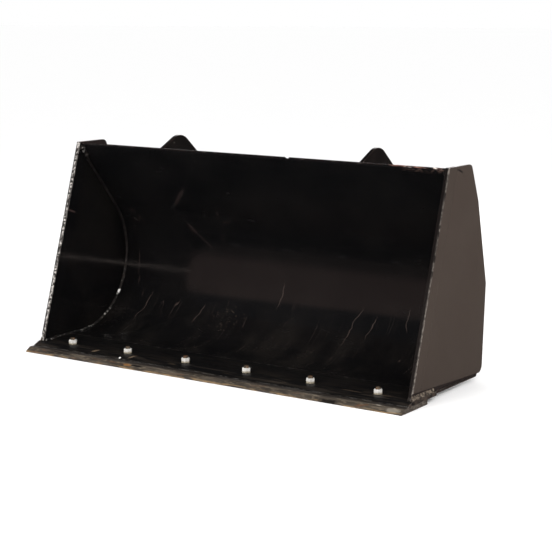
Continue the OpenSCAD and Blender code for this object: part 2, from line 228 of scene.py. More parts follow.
class Look:
    """One material's node tree. Its coordinates are the row frame's, in metres."""

    def __init__(self, name):
        self.material = bpy.data.materials.new(name)
        self.material.use_nodes = True
        self.tree = self.material.node_tree
        self.bsdf = self.tree.nodes["Principled BSDF"]
        self.place = self.add("ShaderNodeTexCoord").outputs["Object"]
        self.x, self.y, self.z = self.add("ShaderNodeSeparateXYZ", Vector=self.place).outputs

    def add(self, kind, settings=None, **inputs):
        made = self.tree.nodes.new(kind)
        for key, value in (settings or {}).items():
            setattr(made, key, value)
        for key, value in inputs.items():
            self.put(made.inputs[key.replace("_", " ")], value)
        return made

    def put(self, socket, value):
        if isinstance(value, bpy.types.NodeSocket):
            self.tree.links.new(value, socket)
        else:
            socket.default_value = value

    def math(self, operation, a, b=0.0):
        made = self.add("ShaderNodeMath", {"operation": operation})
        self.put(made.inputs[0], a)
        self.put(made.inputs[1], b)
        return made.outputs[0]

    def every(self, first, *rest):
        """The product of several masks."""
        for other in rest:
            first = self.math("MULTIPLY", first, other)
        return first

    def either(self, first, *rest):
        """The largest of several masks."""
        for other in rest:
            first = self.math("MAXIMUM", first, other)
        return first

    def ramp(self, value, start, end):
        """A smooth step, 0 at start and 1 at end. The start may be the larger of the two."""
        made = self.add("ShaderNodeMapRange", {"interpolation_type": "SMOOTHSTEP"})
        self.put(made.inputs["Value"], value)
        self.put(made.inputs["From Min"], start)
        self.put(made.inputs["From Max"], end)
        return made.outputs[0]

    def mapped(self, stretch, shift=0.0):
        made = self.add("ShaderNodeMapping", Vector=self.place)
        made.inputs["Scale"].default_value = stretch
        made.inputs["Location"].default_value = (shift, shift * 0.7, shift * 1.3)
        return made.outputs[0]

    def noise(self, scale, detail=3.0, stretch=(1, 1, 1), shift=0.0, distortion=0.0):
        made = self.add("ShaderNodeTexNoise", Vector=self.mapped(stretch, shift))
        made.inputs["Scale"].default_value = scale
        made.inputs["Detail"].default_value = detail
        made.inputs["Distortion"].default_value = distortion
        return made.outputs["Fac"]

    def specks(self, scale, size, share, shift=0.0):
        """Small marks, one in each cell of a net, on that share of the cells."""
        made = self.add("ShaderNodeTexVoronoi", Vector=self.mapped((1, 1, 1), shift))
        made.inputs["Scale"].default_value = scale
        pick = self.add("ShaderNodeSeparateColor", Color=made.outputs["Color"]).outputs[0]
        near = self.ramp(made.outputs["Distance"], size, size * 0.5)
        return self.every(near, self.math("LESS_THAN", pick, share))

    def lines(self, scale, width, stretch, shift=0.0, detail=2.0):
        """Thin winding lines, drawn out along the axes that stretch makes slow."""
        level = self.noise(scale, detail, stretch, shift, 0.4)
        off = self.math("ABSOLUTE", self.math("SUBTRACT", level, 0.5))
        return self.ramp(off, width, width * 0.3)

    def weigh(self, a, a_share, b, b_share):
        """The sum of two coordinates, each times its share."""
        return self.math("ADD", self.math("MULTIPLY", a, a_share), self.math("MULTIPLY", b, b_share))

    def wander(self, noise, reach):
        """A noise turned into a shift of up to half that reach, either way."""
        return self.math("MULTIPLY", self.math("SUBTRACT", noise, 0.5), reach)

    def patch(self, a, b, centre, half, turn=0.0):
        """An oval mark with a ragged rim, at that centre in the plane of the coordinates a and b."""
        da, db = self.math("SUBTRACT", a, centre[0]), self.math("SUBTRACT", b, centre[1])
        c, n = math.cos(math.radians(turn)), math.sin(math.radians(turn))
        u = self.weigh(da, c / half[0], db, n / half[0])
        v = self.weigh(db, c / half[1], da, -n / half[1])
        reach = self.math("SQRT", self.math("ADD", self.every(u, u), self.every(v, v)))
        rim = self.noise(RAGGED / math.sqrt(half[1]))
        return self.ramp(self.math("ADD", reach, rim), 1.5, 1.1)

    def patches(self, a, b, rows):
        """Several ovals. A row is the centre, half sizes, turn and strength of one."""
        return self.either(*(self.every(self.patch(a, b, *row[:3]), row[3]) for row in rows))

    def scratch(self, a, b, start, end, width=0.0024):
        """A thin scratch that wanders between two points in the plane of the coordinates a and b."""
        run, rise = end[0] - start[0], end[1] - start[1]
        length = math.hypot(run, rise)
        da, db = self.math("SUBTRACT", a, start[0]), self.math("SUBTRACT", b, start[1])
        along = self.weigh(da, run / length ** 2, db, rise / length ** 2)
        off = self.weigh(db, run / length, da, -rise / length)
        bend = self.wander(self.noise(13.0, shift=61.0), 0.05)
        near = self.ramp(self.math("ABSOLUTE", self.math("ADD", off, bend)), width, width * 0.3)
        return self.every(near, self.ramp(along, 0.0, 0.25), self.ramp(along, 1.0, 0.7))

    def worn_edges(self, radius=0.004):
        """Where the surface turns sharply, within that radius."""
        round_normal = self.add("ShaderNodeBevel", {"samples": 4}, Radius=radius).outputs[0]
        flat = self.add("ShaderNodeNewGeometry").outputs["True Normal"]
        same = self.add("ShaderNodeVectorMath", {"operation": "DOT_PRODUCT"})
        self.put(same.inputs[0], round_normal)
        self.put(same.inputs[1], flat)
        return self.ramp(same.outputs["Value"], 0.985, 0.9)

    def mix(self, factor, a, b):
        made = self.add("ShaderNodeMix", {"data_type": "RGBA"})
        self.put(made.inputs[0], factor)
        self.put(made.inputs[6], a)
        self.put(made.inputs[7], b)
        return made.outputs[2]

    def blend(self, factor, a, b):
        made = self.add("ShaderNodeMix", {"data_type": "FLOAT"})
        self.put(made.inputs[0], factor)
        self.put(made.inputs[2], a)
        self.put(made.inputs[3], b)
        return made.outputs[0]

    def bump(self, height, distance, strength=1.0, normal=None):
        made = self.add("ShaderNodeBump", Height=height)
        made.inputs["Distance"].default_value = distance
        self.put(made.inputs["Strength"], strength)
        if normal is not None:
            self.put(made.inputs["Normal"], normal)
        return made.outputs[0]

    def done(self, colour, roughness, normal=None, metallic=0.0, specular=0.5):
        self.put(self.bsdf.inputs["Base Color"], colour)
        self.put(self.bsdf.inputs["Roughness"], roughness)
        self.put(self.bsdf.inputs["Metallic"], metallic)
        self.bsdf.inputs["Specular IOR Level"].default_value = specular
        if normal is not None:
            self.put(self.bsdf.inputs["Normal"], normal)
        return self.material


def paint_base(s, scuff=0.5):
    """Gloss black paint: colour, roughness and normal, before wear."""
    cloud = s.noise(5.0, 5.0)
    smear = s.ramp(s.noise(9.0, 6.0, (1, 2.2, 2.2), 3.0, 0.8), 0.45, 0.75)
    colour = s.mix(s.ramp(cloud, 0.35, 0.7), BLACK, SOOT)
    rough = s.blend(s.every(smear, scuff), 0.11, 0.32)
    normal = s.bump(s.noise(3.0, 2.0, shift=5.0), 0.004, 0.12)
    normal = s.bump(s.noise(160.0, 3.0), 0.0001, 0.35, normal)
    return colour, rough, normal


def body_look():
    """Gloss black, with dust, faint rubs, bare specks and chipped edges."""
    s = Look("body_paint")
    colour, rough, normal = paint_base(s)
    dust = s.every(s.ramp(s.noise(7.0, 6.0, (1, 1, 0.45), 11.0), 0.42, 0.72), 0.3)
    colour = s.mix(dust, colour, DUST)
    ragged = s.math("MULTIPLY", s.noise(90.0, 4.0, shift=2.0), 0.9)
    chips = s.ramp(s.math("ADD", s.worn_edges(), ragged), 1.0, 1.15)
    bare = s.either(chips, s.specks(42.0, 0.16, 0.05, 7.0))
    steel = s.mix(s.ramp(s.noise(60.0, 4.0, shift=9.0), 0.4, 0.65), RUST, STEEL)
    in_places = s.ramp(s.noise(5.0, shift=33.0), 0.5, 0.66)
    rubs = s.every(s.lines(1.0, 0.006, (3, 9, 14), 22.0), in_places, 0.35)
    colour = s.mix(rubs, colour, RUB_BODY)
    colour = s.mix(s.every(bare, 0.6), colour, steel)
    rough = s.blend(s.either(bare, dust), rough, 0.5)
    normal = s.bump(s.math("SUBTRACT", 1.0, bare), 0.0004, 0.7, normal)
    return s.done(colour, rough, normal)


def ear_look():
    """Duller black, with a little red wear along the edges."""
    s = Look("ear_paint")
    colour, rough, normal = paint_base(s)
    colour = s.mix(s.every(s.ramp(s.noise(14.0, 5.0, shift=4.0), 0.4, 0.7), 0.12), colour, DUST)
    edge = s.every(s.worn_edges(0.003), s.ramp(s.noise(60.0, 4.0, shift=8.0), 0.42, 0.6))
    colour = s.mix(s.every(edge, 0.3), colour, RED_WEAR)
    colour = s.mix(s.specks(60.0, 0.16, 0.03, 5.0), colour, STEEL)
    return s.done(colour, s.blend(edge, s.math("ADD", rough, 0.2), 0.6), normal, specular=0.08)


def wrapper_look():
    """The sheet's paint, with scratches up the roll, scuffs, flecks and a worn rim under the lip."""
    s = Look("wrapper_paint")
    colour, rough, normal = paint_base(s, 0.8)
    low = s.ramp(s.z, 0.30, 0.10)
    long_lines = s.lines(1.0, 0.0028, (17, 0.8, 0.8), 4.0, 1.0)
    short_lines = s.lines(1.0, 0.0045, (60, 2.2, 2.2), 8.0, 1.0)
    broken = s.ramp(s.noise(7.0, 3.0, shift=21.0), 0.48, 0.62)
    few = s.ramp(s.noise(9.0, 3.0, shift=51.0), 0.52, 0.66)
    scratches = s.every(s.either(s.every(long_lines, broken), s.every(short_lines, few, 0.7)), low)
    high = s.ramp(s.noise(4.0, 2.0, shift=31.0), 0.6, 0.7)
    high_marks = s.every(s.lines(1.0, 0.003, (9, 2, 2), 15.0), high, 0.14)
    cluster = s.patch(s.x, s.z, (-0.25, 0.125), (0.10, 0.055))
    thin = s.every(s.ramp(s.noise(3.2, 2.0, shift=41.0), 0.6, 0.75), low)
    flecks = s.every(s.specks(110.0, 0.22, 0.32, 6.0), cluster, 0.6)
    flecks = s.either(flecks, s.every(s.specks(75.0, 0.14, 0.14, 6.0), thin, 0.4))
    scratched = s.either(*(s.scratch(s.x, s.z, start, end) for start, end in SCRATCHES))
    # Dust low in the roll, which is also a painted reflection: the brown band across the lower back
    dust_and_reflection_cloud = s.ramp(s.noise(6.0, 7.0, (1.6, 0.8, 0.8), 13.0), 0.4, 0.75)
    dust = s.every(dust_and_reflection_cloud, s.ramp(s.z, 0.26, 0.04), 0.2)
    colour = s.mix(dust, colour, DUST)
    marks = s.either(s.every(scratches, 0.35), s.every(scratched, 0.38), high_marks)
    colour = s.mix(marks, colour, SCRATCH_BROWN)
    colour = s.mix(s.every(s.patches(s.x, s.z, SCUFFS), 0.28), colour, SCUFF_BROWN)
    colour = s.mix(flecks, colour, FLECK_TAN)
    rim = s.every(s.ramp(s.z, LIP[1] - 0.017, LIP[1] - 0.006), s.ramp(s.x, 0.68, 0.76))
    rim = s.every(rim, s.ramp(s.noise(1.0, 5.0, (60, 210, 210), 19.0), 0.5, 0.6), 0.7)
    colour = s.mix(rim, colour, RIM_BROWN)
    rough = s.blend(s.either(marks, dust), rough, 0.6)
    normal = s.bump(s.math("SUBTRACT", 1.0, marks), 0.0005, 0.6, normal)
    return s.done(colour, rough, normal)


def paint_foot_shade(s, outer):
    """Painted shade: the stepped foot of a side made dark below its step, over its outer paint."""
    fall = s.math("MULTIPLY", s.math("SUBTRACT", s.y, MOUTH_Y), FOOT_RISE / FOOT_RUN)
    foot = s.ramp(s.math("ADD", s.z, fall), FLOOR_Z + FOOT_RISE + 0.0008, FLOOR_Z + FOOT_RISE)
    patchy = s.ramp(s.noise(80.0, 4.0, shift=7.0), 0.4, 0.65)
    step_shade = s.mix(patchy, FOOT_SHADE_BLACK, FOOT_SHADE_BROWN)
    return s.mix(foot, outer, step_shade)


def outer_paint_and_sheen(s, side):
    """The outer paint of a side: how far out a point is, where the paint is, its cloud and its colour, a
    brown-grey that is partly a painted sheen of the lit face.
    """
    across = s.math("MULTIPLY", s.x, side)
    outside = s.ramp(across, PLATE_OUTER - 0.005, PLATE_OUTER - 0.004)
    cloud = s.ramp(s.noise(3.2, 6.0, (1, 1, 0.6), 1.0, 0.5), 0.3, 0.7)
    return across, outside, cloud, s.mix(cloud, SIDE_LIT_GREY, SIDE_LIT_PALE)


def side_look(side):
    """Black inside; outside a brown-grey that is partly a painted sheen of the lit paint, with a dark
    stroke near the top of the right plate.
    """
    s = Look("side_paint_" + side_name(side))
    inner, rough, normal = paint_base(s)
    # The outer face's brown-grey is partly a painted sheen of the lit paint
    outside, cloud, outer = outer_paint_and_sheen(s, side)[1:]
    smudge = s.ramp(s.noise(11.0, 5.0, (1, 1.5, 0.5), 8.0, 0.6), 0.6, 0.8)
    outer = s.mix(s.every(smudge, 0.25), outer, MILL_BROWN)
    in_places = s.ramp(s.noise(5.0, 2.0, shift=9.0), 0.6, 0.7)
    rubs = s.every(s.lines(1.0, 0.006, (1, 14, 6), 2.0), in_places, 0.3)
    outer = s.mix(rubs, outer, RUB_SIDE)
    if side > 0:
        # A dark stroke near the top of the right plate, and a fine line beside it
        dark_stroke = s.patch(s.y, s.z, (0.058, 0.855), (0.026, 0.0045), -19)
        hair = s.patch(s.y, s.z, (0.026, 0.864), (0.05, 0.0028), -14)
        outer = s.mix(s.either(dark_stroke, s.every(hair, 0.85)), outer, SOOT)
    edge = s.every(s.worn_edges(), s.ramp(s.noise(50.0, 4.0, shift=5.0), 0.4, 0.6), 0.6)
    outer = s.mix(edge, outer, MILL_BROWN)
    outer = paint_foot_shade(s, outer)
    in_places = s.ramp(s.noise(4.0, 2.0, shift=19.0), 0.55, 0.7)
    faint = s.every(s.lines(1.0, 0.004, (1, 5, 9), 12.0), in_places, 0.2)
    inner = s.mix(faint, inner, DUST)
    inner = s.mix(s.every(s.ramp(s.noise(6.0, 5.0, shift=15.0), 0.35, 0.7), 0.10), inner, DUST)
    inner = s.mix(s.every(edge, 0.5), inner, STEEL)
    colour = s.mix(outside, inner, outer)
    rough = s.blend(outside, rough, s.blend(cloud, 0.42, 0.55))
    normal = s.bump(s.noise(70.0, 4.0, shift=4.0), 0.0003, 0.5, normal)
    return s.done(colour, rough, normal)


def left_bar_steel(s, across, ragged):
    """Bright, pitted steel with dark rims."""
    grit = s.ramp(s.noise(110.0, 2.0, shift=6.0), 0.46, 0.54)
    steel = s.mix(grit, PIT_DARK, GRIT_BRIGHT)
    pits = s.ramp(s.noise(32.0, 4.0, shift=14.0), 0.55, 0.62)
    wavy = s.math("ADD", across, ragged)
    outer_rim = s.ramp(wavy, PLATE_OUTER - 0.0062, PLATE_OUTER - 0.0035)
    inner_rim = s.ramp(wavy, BAR_INNER + 0.004, BAR_INNER + 0.0015)
    dark = s.either(s.every(pits, 0.75), s.every(outer_rim, 0.95), s.every(inner_rim, 0.85))
    return s.mix(dark, steel, BAR_RIM)


def right_bar_steel(s, across, ragged):
    """Dull steel under worn black paint, with a painted highlight along the outer corner."""
    grain = s.ramp(s.noise(120.0, 5.0, shift=6.0), 0.35, 0.65)
    # The outer corner carries a painted highlight, stronger low down
    corner = s.ramp(s.math("ADD", across, ragged), PLATE_OUTER - 0.006, PLATE_OUTER - 0.003)
    worn = s.mix(grain, BAR_DULL, BAR_DULL_PALE)
    highlight = s.mix(grain, BAR_HIGHLIGHT, BAR_HIGHLIGHT_PALE)
    wavy_z = s.math("ADD", s.z, s.math("MULTIPLY", s.noise(20.0, shift=2.0), 0.3))
    steel = s.mix(s.every(corner, s.blend(s.ramp(wavy_z, 0.75, 0.45), 0.45, 1.0)), worn, highlight)
    tip = s.either(s.ramp(s.z, 0.845, 0.86), s.ramp(s.z, 0.05, 0.042), s.specks(22.0, 0.2, 0.25, 9.0))
    steel = s.mix(s.every(tip, 0.6), steel, BAR_TIP)
    paint_left = s.ramp(s.math("SUBTRACT", across, ragged), BAR_INNER + 0.0140, BAR_INNER + 0.0105)
    upper = s.ramp(s.z, 0.3, 0.5)
    spots = s.every(upper, s.ramp(s.noise(38.0, shift=24.0), 0.53, 0.60), 0.85)
    kept = s.either(s.every(paint_left, s.either(upper, 0.85)), spots)
    return s.mix(kept, steel, BAR_PAINT)


def bar_look(side):
    """The side's own paint, with worn steel on the bar's front face."""
    s = Look("worn_edge_" + side_name(side))
    inner, rough, normal = paint_base(s)
    across, outside, _, outer = outer_paint_and_sheen(s, side)
    ahead = s.math("MULTIPLY", s.math("SUBTRACT", s.y, MOUTH_Y), MOUTH_COS)
    depth = s.math("SUBTRACT", ahead, s.math("MULTIPLY", s.math("SUBTRACT", s.z, FLOOR_Z), MOUTH_SIN))
    ragged = s.wander(s.noise(60.0, 4.0, shift=3.0), 0.012)
    front = s.ramp(s.math("ADD", depth, ragged), 0.0032, 0.0012)
    colour = s.mix(outside, inner, paint_foot_shade(s, outer))
    if side < 0:
        scrape = s.patch(s.y, s.z, (-0.0915, 0.5775), (0.03, 0.006), -19)
        colour = s.mix(s.every(scrape, 0.5), colour, SCRAPE_BROWN)
        steel = left_bar_steel(s, across, ragged)
    else:
        steel = right_bar_steel(s, across, ragged)
    colour = s.mix(front, colour, steel)
    rough = s.blend(front, s.blend(outside, rough, 0.5), 0.45)
    normal = s.bump(s.noise(95.0, 5.0, shift=16.0), 0.0008, s.blend(front, 0.2, 0.9), normal)
    return s.done(colour, rough, normal, metallic=s.every(front, 0.35))


def base_edge_look():
    """Black paint, worn to brown streaks towards the front, with smears and chipped edges."""
    s = Look("base_edge_steel")
    colour, rough, normal = paint_base(s, 0.9)
    front = s.ramp(s.y, MOUTH_Y + 0.12, MOUTH_Y - 0.03)
    streaks = s.ramp(s.noise(1.0, 7.0, (5, 55, 55), 2.0, 0.6), 0.45, 0.68)
    brown = s.every(streaks, s.blend(front, 0.3, 0.75))
    colour = s.mix(brown, colour, MILL_BROWN)
    tan = s.every(s.ramp(s.noise(1.0, 7.0, (8, 90, 90), 7.0, 0.8), 0.6, 0.74), front, 0.3)
    colour = s.mix(tan, colour, STREAK_TAN)
    in_places = s.ramp(s.noise(4.0, shift=3.0), 0.52, 0.68)
    rubs = s.every(s.lines(1.0, 0.01, (3, 45, 45), 5.0), in_places, 0.25)
    colour = s.mix(rubs, colour, RUB_EDGE)
    colour = s.mix(s.every(s.patches(s.x, s.y, SMEARS), 0.5), colour, SMEAR_TAN)
    dot = s.patch(s.x, s.y, (-0.447, -0.316), (0.006, 0.006))
    colour = s.mix(dot, colour, WHITE_DOT)
    chips = s.every(s.worn_edges(), s.ramp(s.noise(45.0, 5.0, shift=9.0), 0.42, 0.6))
    bare = s.mix(s.noise(70.0, 4.0, shift=4.0), DARK_STEEL, STEEL)
    ends = s.ramp(s.math("ABSOLUTE", s.x), PLATE_OUTER, PLATE_OUTER + 0.004)
    ends = s.every(ends, s.ramp(s.noise(55.0, 4.0, shift=14.0), 0.35, 0.6), 0.8)
    colour = s.mix(ends, colour, END_BROWN)
    colour = s.mix(s.every(chips, 0.55), colour, bare)
    rough = s.blend(s.either(brown, tan), s.math("ADD", rough, 0.24), 0.65)
    normal = s.bump(s.noise(1.0, 6.0, (12, 80, 80), 6.0), 0.0006, 0.6, normal)
    return s.done(colour, rough, normal, specular=0.26)


def cutting_edge_look():
    """Mill-brown steel with a worn bevel, stains, pale marks and sawn ends."""
    s = Look("cutting_edge_steel")
    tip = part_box("bolt_on_edge")[0].y
    run = s.math("SUBTRACT", s.y, tip)
    along = s.noise(1.0, 8.0, (9, 80, 80), 2.0, 0.7)
    steel = s.mix(s.ramp(along, 0.35, 0.7), EDGE_BROWN, EDGE_TAN)
    mill = s.mix(s.ramp(s.noise(1.0, 7.0, (6, 50, 50), 5.0), 0.4, 0.7), MILL_BROWN, DARK_STEEL)
    wander = s.wander(s.noise(2.2, 4.0, shift=8.0), 0.03)
    bevel = s.ramp(s.math("ADD", run, wander), 0.034, 0.020)
    colour = s.mix(bevel, mill, steel)
    dark = s.ramp(s.noise(1.0, 6.0, (4, 30, 30), 13.0, 0.5), 0.6, 0.68)
    colour = s.mix(s.every(dark, 0.8), colour, EDGE_DARK)
    nose = s.ramp(s.math("ADD", run, s.math("MULTIPLY", wander, 0.4)), 0.007, 0.002)
    tan = s.mix(s.ramp(s.noise(1.0, 6.0, (14, 90, 90), 1.0), 0.45, 0.62), DARK_STEEL, PALE_RUST)
    colour = s.mix(s.every(nose, 0.8), colour, tan)
    orange = s.every(s.ramp(s.noise(1.0, 6.0, (9, 60, 60), 17.0, 0.8), 0.6, 0.7), s.ramp(run, 0.05, 0.01))
    colour = s.mix(s.every(orange, 0.7), colour, RUST)
    in_places = s.ramp(s.noise(3.0, shift=23.0), 0.5, 0.62)
    bright = s.every(s.lines(1.0, 0.012, (5, 70, 70), 19.0), in_places, bevel)
    colour = s.mix(s.every(bright, 0.35), colour, EDGE_SCRATCH)
    grit = s.every(s.ramp(s.noise(120.0, 4.0, (0.4, 1, 1), 27.0), 0.52, 0.64), bevel, 0.8)
    colour = s.mix(s.every(grit, 0.8), colour, EDGE_GRIT)
    stain = s.patch(s.x, s.y, (-0.372, tip + 0.014), (0.026, 0.007))
    colour = s.mix(s.every(stain, 0.7), colour, ORANGE_STAIN)
    soot = s.either(
        s.patch(s.x, s.y, (-0.325, tip + 0.016), (0.034, 0.005)),
        s.patch(s.x, s.y, (0.60, tip + 0.004), (0.05, 0.009)),
    )
    colour = s.mix(s.every(soot, 0.9), colour, EDGE_SOOT)
    dash = s.patch(s.x, s.y, (0.804, tip + 0.026), (0.014, 0.0035))
    pale = s.patch(s.x, s.y, (0.872, tip + 0.012), (0.036, 0.011))
    colour = s.mix(s.either(dash, s.every(pale, 0.25)), colour, PALE_MARK)
    ends = s.ramp(s.math("ABSOLUTE", s.x), END_X - 0.001, END_X - 0.0002)
    marks = s.ramp(s.noise(60.0, 5.0, (1, 1, 3), 31.0), 0.35, 0.65)
    sawn = s.mix(marks, SAWN_DARK, SAWN_PALE)
    colour = s.mix(s.every(ends, 0.85), colour, sawn)
    rough = s.blend(bevel, 0.7, s.blend(along, 0.4, 0.65))
    normal = s.bump(s.noise(1.0, 7.0, (16, 110, 110), 6.0), 0.0008, 0.7)
    normal = s.bump(s.noise(26.0, 4.0, shift=2.0), 0.0015, 0.4, normal)
    return s.done(colour, rough, normal, metallic=s.every(bevel, 0.3))


def bolt_look():
    """Rusty steel, with the thread as a bump."""
    s = Look("bolt_steel")
    colour = s.mix(s.ramp(s.noise(150.0, 4.0), 0.4, 0.65), BOLT_DARK, BOLT_TAN)
    colour = s.mix(s.ramp(s.noise(60.0, 4.0, shift=5.0), 0.5, 0.7), colour, RUST)
    # The wave's phase is 20 times its scale times the height
    thread = s.add("ShaderNodeTexWave", {"bands_direction": "Z"}, Vector=s.place)
    thread.inputs["Scale"].default_value = math.tau / 20 / THREAD_PITCH
    normal = s.bump(thread.outputs["Fac"], 0.0008, 0.8)
    normal = s.bump(s.noise(300.0, 4.0), 0.0004, 0.6, normal)
    return s.done(colour, s.blend(s.noise(90.0), 0.45, 0.7), normal, metallic=0.3)


def nut_look():
    """Zinc plate, with a brown film low down and on the edges."""
    s = Look("zinc_plate")
    cloud = s.ramp(s.noise(70.0, 4.0), 0.35, 0.7)
    colour = s.mix(cloud, ZINC, ZINC_DULL)
    wavy_z = s.math("ADD", s.z, s.math("MULTIPLY", s.noise(75.0, shift=3.0), 0.012))
    film = s.every(s.ramp(wavy_z, FLOOR_Z + 0.016, FLOOR_Z + 0.010), 0.75)
    colour = s.mix(film, colour, NUT_GRIME)
    edge = s.every(s.worn_edges(0.0012), s.ramp(s.noise(90.0, 3.0, shift=13.0), 0.4, 0.6))
    colour = s.mix(s.every(edge, 0.5), colour, NUT_EDGE)
    normal = s.bump(s.noise(260.0, 4.0), 0.0003, 0.6)
    return s.done(colour, s.blend(cloud, 0.3, 0.48), normal, metallic=0.25)


def skid_look():
    """Black paint, worn to rusty steel on the face that slides."""
    s = Look("skid_paint")
    colour, rough, normal = paint_base(s)
    under = s.ramp(s.math("ADD", s.z, s.math("MULTIPLY", s.noise(30.0, 4.0), 0.01)), 0.013, 0.005)
    bare = s.mix(s.ramp(s.noise(1.0, 6.0, (60, 6, 60), 2.0), 0.4, 0.65), DARK_STEEL, STEEL)
    bare = s.mix(s.ramp(s.noise(25.0, 5.0, shift=4.0), 0.55, 0.72), bare, RUST)
    chips = s.every(s.worn_edges(), s.ramp(s.noise(60.0, 4.0, shift=7.0), 0.45, 0.6), 0.7)
    colour = s.mix(s.either(under, chips), colour, bare)
    return s.done(colour, s.blend(under, rough, 0.5), normal, metallic=s.every(under, 0.4))


def lip_look():
    """The lip bar's paint, chipped along its top and most of all at the right end."""
    s = Look("lip_paint")
    colour, rough, normal = paint_base(s)
    top = s.ramp(s.z, LIP[1] - 0.006, LIP[1] + 0.001)
    right_end = s.ramp(s.x, 0.62, 0.70)
    rub = s.ramp(s.noise(1.0, 5.0, (22, 90, 90), 3.0), 0.46, 0.58)
    colour = s.mix(s.every(top, rub, s.blend(right_end, 0.025, 0.6)), colour, RED_WEAR)
    chips = s.ramp(s.noise(1.0, 4.0, (40, 160, 160), 6.0), 0.55, 0.64)
    chips = s.every(top, chips, s.blend(right_end, 0.04, 0.9))
    colour = s.mix(chips, colour, LIP_CHIP)
    return s.done(colour, s.blend(chips, rough, 0.5), normal)


def weld_look(name, bright):
    """Painted weld. The bright one is worn to steel low down, near the lip and at one spot."""
    s = Look(name)
    colour, rough, normal = paint_base(s, 0.9)
    colour = s.mix(s.every(s.ramp(s.noise(45.0, 4.0, shift=2.0), 0.4, 0.7), 0.35), colour, DUST)
    worn = s.ramp(s.noise(85.0, 4.0, shift=5.0), 0.56, 0.66)
    steel = s.mix(s.noise(130.0, shift=8.0), WELD_STEEL, BRIGHT_STEEL if bright else STEEL)
    if bright:
        near_lip = s.every(s.ramp(s.z, 0.80, 0.84), 0.5)
        worn = s.every(worn, s.either(s.ramp(s.z, 0.34, 0.26), near_lip, 0.06))
    colour = s.mix(s.every(worn, 0.8 if bright else 0.25), colour, steel)
    if bright:
        spot = s.every(s.patch(s.y, s.z, (0.232, 0.174), (0.012, 0.012)), s.ramp(s.x, 0.0, -0.1))
        colour = s.mix(spot, colour, WELD_SPOT)
    normal = s.bump(s.noise(190.0, 4.0, shift=1.0), 0.0006, 0.8, normal)
    return s.done(colour, s.blend(worn, s.math("ADD", rough, 0.2), 0.5), normal, specular=0.3)


def spatter_look():
    """The rough, brown weld along the foot of each side plate, with pale flecks that are painted
    highlights on its lumps.
    """
    s = Look("weld_foot")
    lumpy = s.ramp(s.noise(90.0, 5.0), 0.4, 0.62)
    colour = s.mix(lumpy, SPATTER_DARK, SPATTER_TAN)
    # Pale flecks: painted highlights on the lumps
    colour = s.mix(s.ramp(s.noise(60.0, 3.0, shift=6.0), 0.6, 0.7), colour, SPATTER_HIGHLIGHT)
    normal = s.bump(s.noise(110.0, 5.0, shift=3.0), 0.0022, 1.0)
    return s.done(colour, s.blend(s.noise(70.0), 0.5, 0.75), normal, specular=0.3)


# The steps of the roll's arc, and about the longest step between two points of a finished path
ARC_STEPS = 48
PATH_STEP = 0.01


def sheet_path(offset):
    """The sheet's section from the mouth to the lip, that far outside its inner surface.

    A row is (y, z, normal y, normal z), with the normal pointing out of the bucket."""
    rows = [(MOUTH_Y, FLOOR_Z - offset, 0, -1)]
    for step in range(ARC_STEPS + 1):
        a = -math.pi / 2 + (BACK_ANGLE + math.pi / 2) * step / ARC_STEPS
        ny, nz = math.cos(a), math.sin(a)
        rows.append((ROLL_Y + (ROLL_R + offset) * ny, ROLL_Z + (ROLL_R + offset) * nz, ny, nz))
    ny, nz = BACK_OUT
    rows.append((LIP[0] + offset * ny, LIP[1] + offset * nz, ny, nz))
    fine = []
    for a, b in zip(rows, rows[1:]):
        count = max(1, int(math.hypot(b[0] - a[0], b[1] - a[1]) / PATH_STEP))
        fine += [tuple(p + (q - p) * i / count for p, q in zip(a, b)) for i in range(count)]
    return fine + [rows[-1]]


def cut_path(rows, low=-math.inf, high=math.inf, y_from=-math.inf):
    """The rows of a section between two heights, from that y on."""
    return [r for r in rows if low <= r[1] <= high and y_from <= r[0]]


# A bead's section has this many steps, and its root lies this far inside the pieces that it joins
SECTION_STEPS = 6
SINK = 0.0005
# Along it, its size changes by up to this share from knot to knot, and it runs out over a short end
KNOT, UNEVEN, RUN_OUT = 0.02, 0.14, 0.006
# Its ripples are this deep, this much later in the middle than at the rims, and this uneven
RIPPLE, RIPPLE_LAG, RIPPLE_JITTER = 0.16, 0.35, 0.35
# Its face is this round, from 0 for a flat fillet to 1
ROUND = 0.55


def tube_faces(count, width):
    """The faces of a closed tube: that many rings of that many points, and two ends."""
    faces = []
    for j in range(count - 1):
        for k in range(width):
            m = (k + 1) % width
            faces.append((j * width + k, j * width + m, (j + 1) * width + m, (j + 1) * width + k))
    faces.append(tuple(range(width))[::-1])
    faces.append(tuple(range((count - 1) * width, count * width)))
    return faces


def tube_mesh(name, points):
    """A closed, smooth tube through rings of points, as an array of (ring, point, xyz)."""
    mesh = bpy.data.meshes.new(name)
    mesh.from_pydata(points.reshape(-1, 3).tolist(), [], tube_faces(*points.shape[:2]))
    mesh.validate()
    mesh.polygons.foreach_set("use_smooth", [True] * len(mesh.polygons))
    return mesh


def even_steps(joint, ring, tall):
    """A joint in even steps: the places along it, its points and its two directions."""
    p, a, b = (np.array([row[i] for row in joint], float) for i in range(3))
    travel = np.concatenate([[0], np.cumsum(np.linalg.norm(np.diff(p, axis=0), axis=1))])
    s = np.linspace(0, travel[-1], max(4, int(travel[-1] / ring)))
    p, a, b = (np.stack([np.interp(s, travel, v[:, i]) for i in range(3)], 1) for v in (p, a, b))
    a /= np.linalg.norm(a, axis=1)[:, None]
    b *= tall / np.linalg.norm(b, axis=1)[:, None]
    return s, p, a, b


